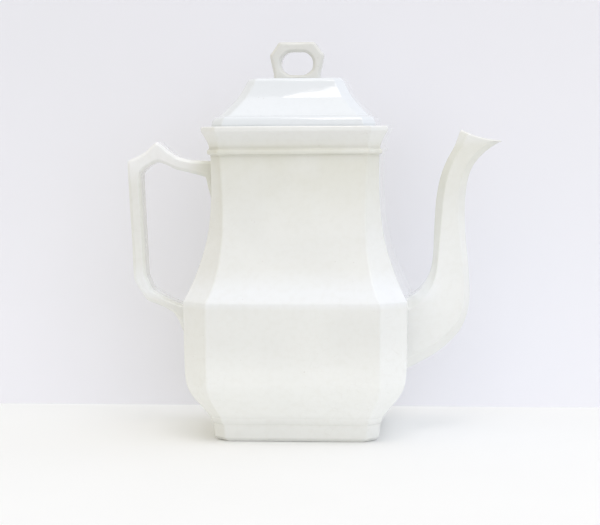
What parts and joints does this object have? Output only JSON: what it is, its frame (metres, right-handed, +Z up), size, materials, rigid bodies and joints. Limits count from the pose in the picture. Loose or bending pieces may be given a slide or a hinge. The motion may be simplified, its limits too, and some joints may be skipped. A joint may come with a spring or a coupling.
{
  "type": "coffee pot",
  "caption": "Coffee pot with a canted square body, flared collar, faceted spout, strap handle and lift-off lid with a loop finial, in white glazed ironstone.",
  "frame": {"origin": "middle of the foot on the table plane", "axes": "+X towards the spout and -X to the handle, +Y to the back, +Z up; the pot is symmetric about the X-Z plane"},
  "size_m": [0.2382, 0.132, 0.2468],
  "materials": {
    "pot_glaze": "glossy clear glaze over a warm white body",
    "lid_glaze": "glossy clear glaze over a cooler white body"
  },
  "bodies": {
    "pot": {"pot_base": "pot_glaze", "pot_body": "pot_glaze", "spout": "pot_glaze", "handle": "pot_glaze"},
    "lid": {"lid_cover": "lid_glaze", "lid_flange": "lid_glaze", "lid_finial": "lid_glaze"}
  },
  "joints": [
    {"name": "lid_lift", "type": "slide", "parent": "pot", "child": "lid", "axis": [0, 0, 1], "range_m": [0, 0.06]}
  ]
}
